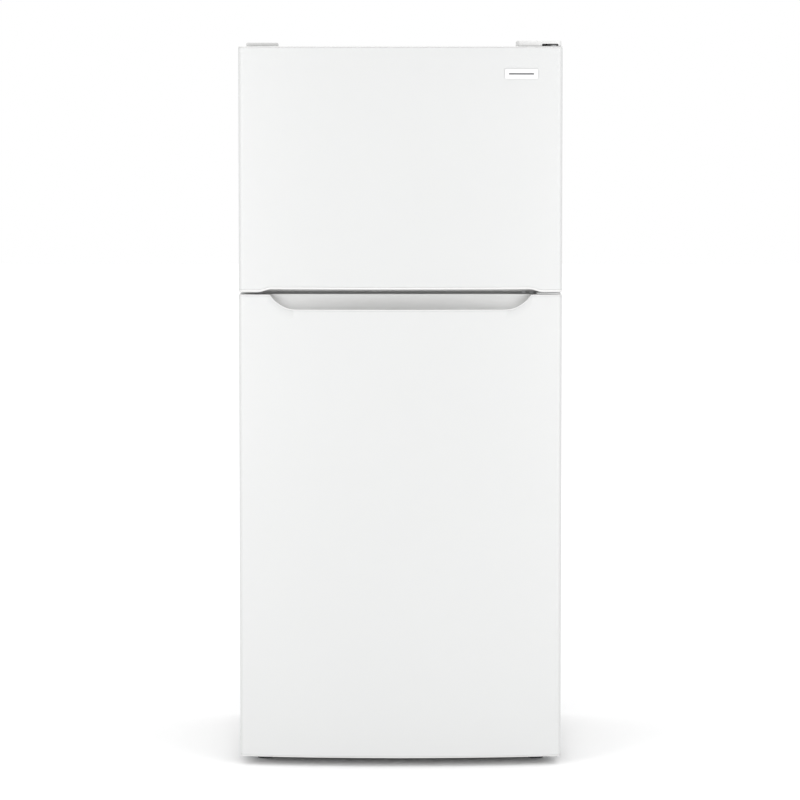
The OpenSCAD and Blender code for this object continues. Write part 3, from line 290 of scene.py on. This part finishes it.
def piece(name, points, faces, body, finish, stands_for=(), angle=38):
    """A smooth object that rides on a body. Edges that turn more than angle stay sharp."""
    mesh = bpy.data.meshes.new(name)
    mesh.from_pydata([tuple(p) for p in points], [], faces)
    work = bmesh.new()
    work.from_mesh(mesh)
    bmesh.ops.remove_doubles(work, verts=work.verts, dist=weld_dist)
    bmesh.ops.dissolve_degenerate(work, edges=work.edges, dist=thin_edge)
    bmesh.ops.recalc_face_normals(work, faces=work.faces)
    work.to_mesh(mesh)
    work.free()
    mesh.shade_smooth()
    mesh.set_sharp_from_angle(angle=math.radians(angle))
    made = bpy.data.objects.new(name, mesh)
    bpy.context.scene.collection.objects.link(made)
    made.data.materials.append(finish)
    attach(made, body)
    if stands_for:
        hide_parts(*stands_for)
    return made


class Skin:
    """Points and faces gathered from several stacks of rings."""

    def __init__(self):
        self.points, self.faces = [], []

    def rings(self, rings, closed=True, start=False, end=False):
        """Joins neighbouring rings, and fills the first or last one if asked."""
        base, n = len(self.points), len(rings[0])
        self.points += [p for ring in rings for p in ring]
        for i in range(len(rings) - 1):
            for j in range(n if closed else n - 1):
                a, b = base + i * n + j, base + i * n + (j + 1) % n
                self.faces.append((a, b, b + n, a + n))
        if start:
            self.faces.append(tuple(range(base, base + n))[::-1])
        if end:
            self.faces.append(tuple(range(len(self.points) - n, len(self.points))))
        return self

    def make(self, name, body, finish, stands_for=(), slot=None, angle=38):
        return piece(name, self.points, self.faces, body, finish, stands_for, angle)


def rounded(x0, y0, x1, y1, r, steps=6):
    """A rectangle with round corners, always with the same number of points."""
    least = 1e-5
    r = max(min(r, (x1 - x0) / 2 - least, (y1 - y0) / 2 - least), least)
    made = []
    for cx, cy, turn in ((x1 - r, y1 - r, 0), (x0 + r, y1 - r, 90), (x0 + r, y0 + r, 180),
                         (x1 - r, y0 + r, 270)):
        for i in range(steps + 1):
            a = math.radians(turn + 90 * i / steps)
            made.append((cx + r * math.cos(a), cy + r * math.sin(a)))
    return made


def quarter(r, steps=4):
    """(how far in, how far along) round a quarter circle that starts square to the side."""
    return [(r * (1 - math.cos(math.pi / 2 * i / steps)), r * math.sin(math.pi / 2 * i / steps))
            for i in range(steps + 1)]


def flat_front(x, z, along):
    """Puts a flat outline upright, facing the front."""
    return (x, along, z)


def slab(skin, x0, y0, x1, y1, corner, low, high, edge, lay):
    """A plate with round corners and rounded edges, which lay puts in its place."""
    def ring(inset, along):
        return [lay(u, v, along) for u, v in
                rounded(x0 + inset, y0 + inset, x1 - inset, y1 - inset, corner - inset)]
    turn = quarter(edge)
    rings = [ring(inset, low + edge - up) for inset, up in reversed(turn)]
    rings += [ring(inset, high - edge + up) for inset, up in turn]
    return skin.rings(rings, start=True, end=True)


print("a rounded rectangle has", len(rounded(0, 0, 1, 1, 0.1)), "points")

# %% [markdown]
# ## Softening the frame's own solids
# A solid from the frame has sharp edges and many small flat facets on its curves. Joining
# its points and dissolving its flat parts first leaves long clean edges, which a bevel can
# then round. Modifiers do this without changing the solid itself.

# %% Softer edges on a solid that keeps its shape
join_dist, flat_angle, bevel_angle = 1e-6, math.radians(0.6), math.radians(32)


def dress(node, finish, edge):
    """Keeps a solid's shape, rounds its edges and gives it a finish."""
    ob = nodes[node]
    ob.data.materials.clear()
    ob.data.materials.append(finish)
    stored = ob.data.attributes.get("custom_normal")
    if stored:
        ob.data.attributes.remove(stored)
    ob.data.shade_smooth()
    weld = ob.modifiers.new("join", "WELD")
    weld.merge_threshold = join_dist
    flats = ob.modifiers.new("flats", "DECIMATE")
    flats.decimate_type, flats.angle_limit = "DISSOLVE", flat_angle
    if edge:
        bevel = ob.modifiers.new("edges", "BEVEL")
        bevel.width, bevel.segments = edge, 2
        bevel.limit_method, bevel.angle_limit = "ANGLE", bevel_angle
    shade = ob.modifiers.new("shading", "WEIGHTED_NORMAL")
    shade.keep_sharp = True


print("edges that turn more than", round(math.degrees(bevel_angle)), "degrees are rounded")

# %% [markdown]
# ## The doors' outline
# Seen from above, a door's front is a long arc that meets short straight sides through tight
# corners. The skin and both of its end caps follow this one outline, each set in by its own
# amount, so the seams between them stay even. Every offset keeps the same arc centres, so
# rings at different offsets match point for point.

# %% One outline for skins and caps
door_lo, door_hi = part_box("fridge_door_skin")
half = door_hi.x
face = door_lo.y
inner = door_hi.y
bow = 30 * mm
corner_r = 10 * mm
arc_r = (half * half + bow * bow) / (2 * bow)
arc_y = face + arc_r
corner_x = half - corner_r
corner_y = arc_y - math.sqrt((arc_r - corner_r) ** 2 - corner_x ** 2)
swing = math.asin(corner_x / (arc_r - corner_r))


def front(inset, steps=150, turns=6):
    """The front's points from left to right, corners included."""
    made = []
    for i in range(turns):
        a = math.pi + (math.pi / 2 - swing) * i / turns
        made.append((-corner_x + (corner_r - inset) * math.cos(a),
                     corner_y + (corner_r - inset) * math.sin(a)))
    for i in range(steps + 1):
        a = -math.pi / 2 + swing * (2 * i / steps - 1)
        made.append(((arc_r - inset) * math.cos(a), arc_y + (arc_r - inset) * math.sin(a)))
    for i in range(1, turns + 1):
        a = -math.pi / 2 + swing + (math.pi / 2 - swing) * i / turns
        made.append((corner_x + (corner_r - inset) * math.cos(a),
                     corner_y + (corner_r - inset) * math.sin(a)))
    return made


def round_door(inset, back):
    """The front with its two sides, which end at y = back. Each has three points."""
    x = half - inset
    sides = [back + (corner_y - back) * i / 3 for i in range(3)]
    return ([(-x, y) for y in sides] + front(inset) + [(x, y) for y in reversed(sides)])


print("outline points:", len(round_door(0, inner)), "bow radius:", round(arc_r, 3))

# %% [markdown]
# ## The grip between the doors
# There is no handle. The fridge door's top edge is scooped out so that fingers reach a lip,
# and the freezer door's bottom edge is raised in a low arch over it. Both are written as
# depths that depend on the distance from the middle, and the skin, the cap's lip and the
# cap's surface all use them, so they meet along the whole curve.

# %% How deep the scoop, arch and pockets are across the door
scoop_deep, scoop_end, scoop_run = 34 * mm, 70 * mm, 64 * mm
scoop_power, scoop_start = 2.2, 7
arch_high, arch_end, arch_run = 7 * mm, 44 * mm, 32 * mm
pocket_run = 4 * mm


def ease(t):
    """Goes from 0 to 1 with a level start and end."""
    t = max(0.0, min(1.0, t))
    return t * t * (3 - 2 * t)


def scoop(x):
    """Starts scoop_end in from the door's side and reaches its depth scoop_run further on."""
    t = max(0.0, min(1.0, (half - scoop_end - abs(x)) / scoop_run))
    return scoop_deep * (1 - (1 - t) ** scoop_power) * ease(t * scoop_start)


def arch(x):
    return arch_high * ease((half - arch_end - abs(x)) / arch_run)


def pocket(x, depth, reach):
    return depth * ease((reach - abs(x)) / pocket_run)


def none(x):
    return 0.0


for x in (0, 0.24, 0.28, 0.30, 0.32):
    print("x", x, "scoop", round(scoop(x), 4), "arch", round(arch(x), 4))

# %% [markdown]
# ## Door skins
# A door skin is one sheet of steel, bent round both sides of the door and folded in behind
# them. Its cut edges stop a few millimetres short of the door's top and bottom, and the end
# caps fill the rest. The sheet is built as one surface, with rows closer together near its
# ends, and a modifier gives it its thickness.

# %% Door skins: one sheet from fold to fold, tucked in at the top and bottom
seam = 3.4 * mm
arch_seam = 6.0 * mm
fold, fold_r = 12 * mm, 2.2 * mm
tuck_in, tuck_from = 0.5 * mm, 3 * mm
sheet = 0.9 * mm
near_end = [0, 0.0004, 0.02]
rows = near_end + [i / 20 for i in range(1, 20)] + [0.98, 0.9996, 1]


def door_skin(node, body, low_cut, high_cut, low_seam=seam):
    """A skin whose ends follow low_cut and high_cut across the door."""
    lo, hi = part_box(node)
    rolled = [(-half + fold, inner), (-half + fold_r, inner),
              (-half + 0.7 * mm, inner - 0.6 * mm)]
    outline = (rolled + round_door(0, inner - fold_r)
               + [(-x, y) for x, y in reversed(rolled)])
    rings = []
    for t in rows:
        ring = []
        for x, y in outline:
            z0 = lo.z + low_seam + low_cut(x)
            z1 = hi.z - seam - high_cut(x)
            tuck = tuck_in if t in (0, 1) and y < inner - tuck_from else 0
            ring.append((x * (1 - tuck / half), y + tuck, z0 + (z1 - z0) * t))
        rings.append(ring)
    made = Skin().rings(rings, closed=False).make(node + "_sheet", body, enamel, (node,),
                                                  "white_paint", angle=50)
    steel = made.modifiers.new("steel", "SOLIDIFY")
    steel.thickness, steel.offset = sheet, -1
    return made


freezer_sheet = door_skin("freezer_door_skin", "freezer_door", arch, none, arch_seam)
fridge_sheet = door_skin("fridge_door_skin", "fridge_door", none, scoop)
print("skins:", freezer_sheet.name, fridge_sheet.name)

# %% [markdown]
# ## End caps
# A plastic cap closes each end of a door. Its lip stands proud of the steel's cut edge and
# turns over on a small radius, which is the bright line that runs along the grip. Behind the
# lip, the cap's surface sinks into the scoop and then into a narrow finger pocket. It is a
# height over the door's plan, so a grid of columns fits it well.

# %% Caps with a rolled lip and a sunk surface
lip_in = 5.0 * mm
proud = 0.2 * mm
skirt = 12 * mm
cut_until = inner - 40 * mm
step, wall = 0.8 * mm, 0.4 * mm
sunk_deep = 30 * mm


def end_cap(node, body, top, cut, rows, lip_r=2.0 * mm, gap=seam):
    """A cap whose lip follows cut across the door.

    rows(x, y0, back) gives the (y, depth) points from the lip to the back of the cap.
    """
    lo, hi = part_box(node)
    edge, way = (hi.z, -1) if top else (lo.z, 1)
    back = hi.y
    profile = [(lip_in, 0), (proud + lip_r, 0)]
    profile += [(proud + lip_r * (1 - math.sin(a)), lip_r * (1 - math.cos(a)))
                for a in (math.radians(v) for v in (22, 45, 67, 90))]
    profile += [(proud, gap - 0.5 * mm), (1.1 * mm, gap), (1.2 * mm, skirt)]
    rings = []
    for inset, down in profile:
        rings.append([(x, y, edge + way * (down + cut(x if y < cut_until else half)))
                      for x, y in round_door(inset, back)])
    skin = Skin().rings(rings, closed=False)
    columns = []  # the surface behind the lip, one line from front to back for each x
    for x, y0 in front(lip_in):
        line = [(y0, cut(x))] + rows(x, y0, back)
        columns.append([(x, y, edge + way * d) for y, d in line])
    skin.rings(columns, closed=False)
    return skin.make(node + "_moulding", body, trim_white_and_painted_light, (node,), "white_plastic", angle=42)


def turned_down(back):
    """The cap's back edge, which turns down over the door's foam."""
    return [(back - 1 * mm, 0), (back, 1 * mm), (back, skirt)]


def sunk_rows(p0, p1, sunk, high=0):
    """A finger pocket from p0 to p1, with a small step before each of its walls."""
    return [(p0 - step, high), (p0, min(sunk, high + step)), (p0 + wall, sunk),
            (p1 - wall, sunk), (p1, min(sunk, step)), (p1 + step, 0)]


def plain_rows(x, y0, back):
    return [(y0 + (back - y0) * t, 0) for t in (0.25, 0.5, 0.75)] + turned_down(back)


side_y = face + bow


def scooped_rows(x, y0, back):
    """A quarter ellipse from the lip up to the scoop's rim, then the pocket."""
    rim = max(y0 + 6 * mm, side_y + 18 * mm)
    deep = scoop(x)
    made = [(y0 + (rim - y0) * math.sin(a), deep * math.cos(a))
            for a in (math.radians(9 * i) for i in range(1, 11))]
    p0, p1 = side_y + 22 * mm, back - 6 * mm
    if p0 < rim:
        p0 = rim + 1 * mm
    sunk = pocket(x, sunk_deep, half - 125 * mm)
    return made + sunk_rows(p0, p1, sunk) + turned_down(back)


def arched_rows(x, y0, back):
    """A level strip at the arch's height behind the lip, then the pocket."""
    high = arch(x)
    sunk = max(high, pocket(x, sunk_deep, half - 85 * mm))
    p1 = back - 12 * mm
    p0 = min(y0 + 5.5 * mm, p1 - 4 * mm)
    return [(y0 + 1 * mm, high)] + sunk_rows(p0, p1, sunk, high) + turned_down(back)


arch_lip_r = 3.6 * mm
end_cap("fridge_door_top_cap", "fridge_door", True, scoop, scooped_rows)
end_cap("freezer_door_bottom_cap", "freezer_door", False, arch, arched_rows, arch_lip_r,
        arch_seam)
end_cap("freezer_door_top_cap", "freezer_door", True, none, plain_rows)
end_cap("fridge_door_bottom_cap", "fridge_door", False, none, plain_rows)
print("caps made, the arch seam is", round(arch_seam / mm, 1), "mm above its edge")

# %% [markdown]
# ## The badge
# The badge is a small white plate stuck on the freezer door. A plain grey bar stands where
# a maker would print a name. It is a thin raised slab, tilted with the plate to follow the
# bow of the door.

# %% A plain bar on the badge plate
bar_hw, bar_hh, bar_r = 29 * mm, 1.7 * mm, 0.6 * mm
bar_sunk, bar_out, bar_edge = 0.2 * mm, 0.9 * mm, 0.15 * mm
plate_off = 0.15 * mm
badge_lo, badge_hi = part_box("badge_plate")
badge_x = (badge_lo.x + badge_hi.x) / 2
badge_z = (badge_lo.z + badge_hi.z) / 2
lean = math.asin(badge_x / arc_r)
reach = (badge_hi.x - badge_lo.x) / 2 * math.sin(lean)
out_y = badge_lo.y + reach - plate_off


def on_badge(u, v, along):
    """Puts a flat outline on the plate, leaning with it."""
    return (badge_x + u * math.cos(lean) - along * math.sin(lean),
            out_y + u * math.sin(lean) + along * math.cos(lean), badge_z + v)


bar = slab(Skin(), -bar_hw, -bar_hh, bar_hw, bar_hh, bar_r, -bar_sunk, bar_out, bar_edge,
           on_badge)
bar.make("badge_bar", "freezer_door", print_grey, slot="dark_plastic")
print("badge leans", round(math.degrees(lean), 2), "degrees")

# %% [markdown]
# ## Door liners
# A door liner is one vacuum-formed sheet. From its flat flange it rises into a hollow rim
# that keeps warm air off the seal, drops inside the rim, and ends in a flat panel. Every
# level is a rectangle with round corners, so the whole liner is one stack of rings.

# %% Vacuum-formed door liners
rim_w = 20 * mm
root_r, rim_r, panel_r = 4 * mm, 6 * mm, 2.5 * mm
flange_corner, outer_corner, inner_corner = 3 * mm, 14 * mm, 9 * mm
liner_wall = 2 * mm


def door_liner(node, body, rim_hw, rim_z0, rim_z1):
    """A liner whose rim is rim_hw to each side and runs from rim_z0 to rim_z1."""
    lo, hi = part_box(node)
    tip, flange = hi.y, inner

    def ring(x, z0, z1, r, y):
        return [(u, y, v) for u, v in rounded(-x, z0, x, z1, r)]

    def level(inset, corner, y):
        return ring(rim_hw - inset, rim_z0 + inset, rim_z1 - inset, corner, y)

    rings = [ring(hi.x, lo.z, hi.z, flange_corner, flange - liner_wall),
             ring(hi.x, lo.z, hi.z, flange_corner, flange)]
    for a in range(0, 91, 30):  # the fillet at the rim's foot
        out = root_r * (1 - math.sin(math.radians(a)))
        up = root_r * (1 - math.cos(math.radians(a)))
        rings.append(level(-out, outer_corner + out, flange + up))
    for a in range(0, 91, 22):  # the rim's outer edge
        inset = rim_r * (1 - math.cos(math.radians(a)))
        up = rim_r * math.sin(math.radians(a))
        rings.append(level(inset, outer_corner - inset, tip - rim_r + up))
    for a in range(90, -1, -22):  # the rim's inner edge
        inset = rim_w - rim_r * (1 - math.cos(math.radians(a)))
        up = rim_r * math.sin(math.radians(a))
        rings.append(level(inset, inner_corner, tip - rim_r + up))
    for a in range(0, 91, 22):  # the fillet where the panel begins
        inset = rim_w + panel_r * (1 - math.cos(math.radians(a)))
        down = panel_r * (1 - math.sin(math.radians(a)))
        rings.append(level(inset, inner_corner, lo.y + liner_wall + down))
    skin = Skin().rings(rings, end=True)
    return skin.make(node + "_formed", body, liner_white, (node,), "white_liner", angle=45)


door_liner("freezer_door_liner", "freezer_door", rim_hw=303 * mm, rim_z0=1158 * mm,
           rim_z1=1612 * mm)
door_liner("fridge_door_liner", "fridge_door", rim_hw=320 * mm, rim_z0=112 * mm,
           rim_z1=1051 * mm)
print("door liners formed")

# %% [markdown]
# ## Seals
# The seal is an extruded vinyl section, welded at its corners. A dart holds it behind the
# liner, a bellows lets it stretch, and a flat tube holds the magnet strip. Its section is
# swept round the door as rings that close on themselves.

# %% Bellows seals round each door
seal_w, seal_corner = 18 * mm, 22 * mm


def seal(node, body):
    lo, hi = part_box(node)
    deep = hi.y - lo.y
    # across and along the seal, as shares of its width and depth
    section = [(0.10, 0.0), (0.06, 0.22), (0.22, 0.34), (0.22, 0.44), (0.0, 0.56), (0.0, 0.90),
               (0.06, 1.0), (0.44, 1.0), (0.50, 0.93), (0.56, 1.0), (0.94, 1.0), (1.0, 0.90),
               (1.0, 0.56), (0.78, 0.44), (0.78, 0.34), (0.94, 0.22), (0.90, 0.0)]
    rings = []
    for across, along in section + section[:1]:
        inset = seal_w * across
        outline = rounded(lo.x + inset, lo.z + inset, hi.x - inset, hi.z - inset,
                          seal_corner - inset)
        rings.append([flat_front(u, v, lo.y + deep * along) for u, v in outline])
    return Skin().rings(rings).make(node + "_bellows", body, vinyl, (node,), "seal", angle=50)


seal("freezer_door_gasket", "freezer_door")
seal("fridge_door_gasket", "fridge_door")
print("seals swept")

# %% [markdown]
# ## Camera
# The camera is far off with a long lens, a little lower than the doors' top and tilted down
# by a few degrees, so the sides stay almost upright.

# %% Camera
camera = bpy.data.objects.new("camera", bpy.data.cameras.new("camera"))
bpy.context.scene.collection.objects.link(camera)
bpy.context.scene.camera = camera
aside, distance, eye, tilt = -1 * mm, 8.5, 1.50, 4.33
sensor, lens, farthest = 36, 165.0, 60
camera.location = (aside, face + bow - distance, eye)
camera.rotation_euler = (math.radians(90 - tilt), 0, 0)
camera.data.sensor_width = sensor
camera.data.lens = lens
camera.data.clip_end = farthest
print("camera", distance, "m off, lens", camera.data.lens)

# %% [markdown]
# ## Lights and floor
# The refrigerator stands on a pale floor in an even white room, which lights every side. Two
# tall lights stand to the left and right, out of the direction in which the doors would
# mirror them into the camera. A wide, weak sun overhead lights what faces up, such as the
# scoop.

# %% Lights, world and floor
aim, panel = (0, 0, 0.8), (1.6, 2.2)
sun_power, sun_spread = 0.45, math.radians(120)
floor_half = 30


def area_light(name, place, power):
    """A tall rectangle of light at place, turned toward aim."""
    lamp = bpy.data.objects.new(name, bpy.data.lights.new(name, "AREA"))
    lamp.data.shape, lamp.data.size, lamp.data.size_y = "RECTANGLE", *panel
    lamp.data.energy = power
    lamp.location = place
    lamp.rotation_euler = (Vector(aim) - Vector(place)).to_track_quat("-Z", "Y").to_euler()
    bpy.context.scene.collection.objects.link(lamp)


area_light("key", (-2.7, -4.2, 1.3), 62)
area_light("fill", (2.7, -4.2, 1.1), 56)
overhead = bpy.data.objects.new("overhead", bpy.data.lights.new("overhead", "SUN"))
overhead.data.energy, overhead.data.angle = sun_power, sun_spread
bpy.context.scene.collection.objects.link(overhead)
world = bpy.data.worlds.new("room")
bpy.context.scene.world = world
world.use_nodes = True
room = world.node_tree.nodes["Background"]
room.inputs["Color"].default_value = (1, 1, 1, 1)
room.inputs["Strength"].default_value = 1.0
bpy.context.scene.view_settings.view_transform = "Standard"


def floor_paint():
    f = Finish("floor_paint", Specular_IOR_Level=0.2)
    cloud = f.noise(0.8, 2)
    f.feed(Base_Color=f.blend(cloud, (0.93, 0.93, 0.93), (0.95, 0.95, 0.95)),
           Roughness=0.8 + 0.1 * cloud)
    return f.material


floor_mesh = bpy.data.meshes.new("floor")
corners = [(x * floor_half, y * floor_half, 0) for x, y in ((-1, -1), (1, -1), (1, 1), (-1, 1))]
floor_mesh.from_pydata(corners, [], [(0, 1, 2, 3)])
floor = bpy.data.objects.new("floor", floor_mesh)
bpy.context.scene.collection.objects.link(floor)
floor.data.materials.append(floor_paint())
print("stage set")

# %% [markdown]
# ## Dressing the solids that keep their shape
# Brackets, sheets, grilles and knobs already have their true outlines. Each gets a finish,
# and most get a small rounded edge, since a perfectly sharp edge never catches the light.

# %% Finish and edge width in mm for each remaining solid
kept = {
    "cabinet_shell": (grained, 1.0), "back_panel": (zinc, 0), "step_panel": (zinc, 0),
    "cabinet_foam": (rigid_foam, 0), "freezer_door_foam": (rigid_foam, 0),
    "fridge_door_foam": (rigid_foam, 0), "freezer_liner": (liner_white, 0.8),
    "fresh_food_liner": (liner_white, 0.8), "divider_cover": (trim_white_and_painted_light, 0.6),
    "base_frame": (zinc, 0.4), "toe_grille": (trim_white_and_painted_light, 0.6), "roller_axles": (plated, 0.3),
    "bottom_hinge": (enamel, 0.5), "centre_hinge": (enamel, 0.5), "top_hinge": (enamel, 0.5),
    "top_hinge_cover": (trim_white_and_painted_light, 1.4), "hinge_hole_cap": (trim_white_and_painted_light, 2.0),
    "screws": (plated, 0.4), "compressor": (black_paint, 1.5),
    "compressor_grommets": (rubber, 0.6), "condenser_coil": (black_paint, 0.3),
    "condenser_fan_motor": (zinc, 0.4), "drain_pan": (dark_plastic, 0.5),
    "rear_cover": (zinc, 0.3), "evaporator_coil": (fin_stock, 0),
    "evaporator_cover": (liner_white, 0.6), "evaporator_fan_motor": (zinc, 0.4),
    "freezer_shelf": (wire_coat, 0), "shelf_frames": (trim_white_and_painted_light, 1.2),
    "shelf_glass": (pane, 0.4), "drawer_runners": (liner_white, 0.6),
    "control_housing": (trim_white_and_painted_light, 0.9), "lamp_lens": (crystal, 0.6), "lamp": (bulb_glass, 0),
    "refrigerant_tubes": (copper, 0), "temperature_knob": (knob_white, 0.7),
    "freezer_knob": (knob_white, 0.7), "light_switch": (knob_white, 0.6),
    "condenser_fan": (dark_plastic, 0.4), "evaporator_fan": (dark_plastic, 0.4),
    "left_drawer": (crystal, 0.6), "right_drawer": (crystal, 0.6),
    "left_leveling_leg": (dark_plastic, 0.5), "right_leveling_leg": (dark_plastic, 0.5),
    "left_roller": (dark_plastic, 0.6), "right_roller": (dark_plastic, 0.6),
    "freezer_door_bins": (crystal, 0.6), "fridge_door_bins": (crystal, 0.6),
    "badge_plate": (badge_white, 0.5), "dairy_flap": (crystal, 0.6),
}
for node, (finish, edge) in kept.items():
    dress(node, finish, edge * mm)
print("dressed", len(kept), "solids")
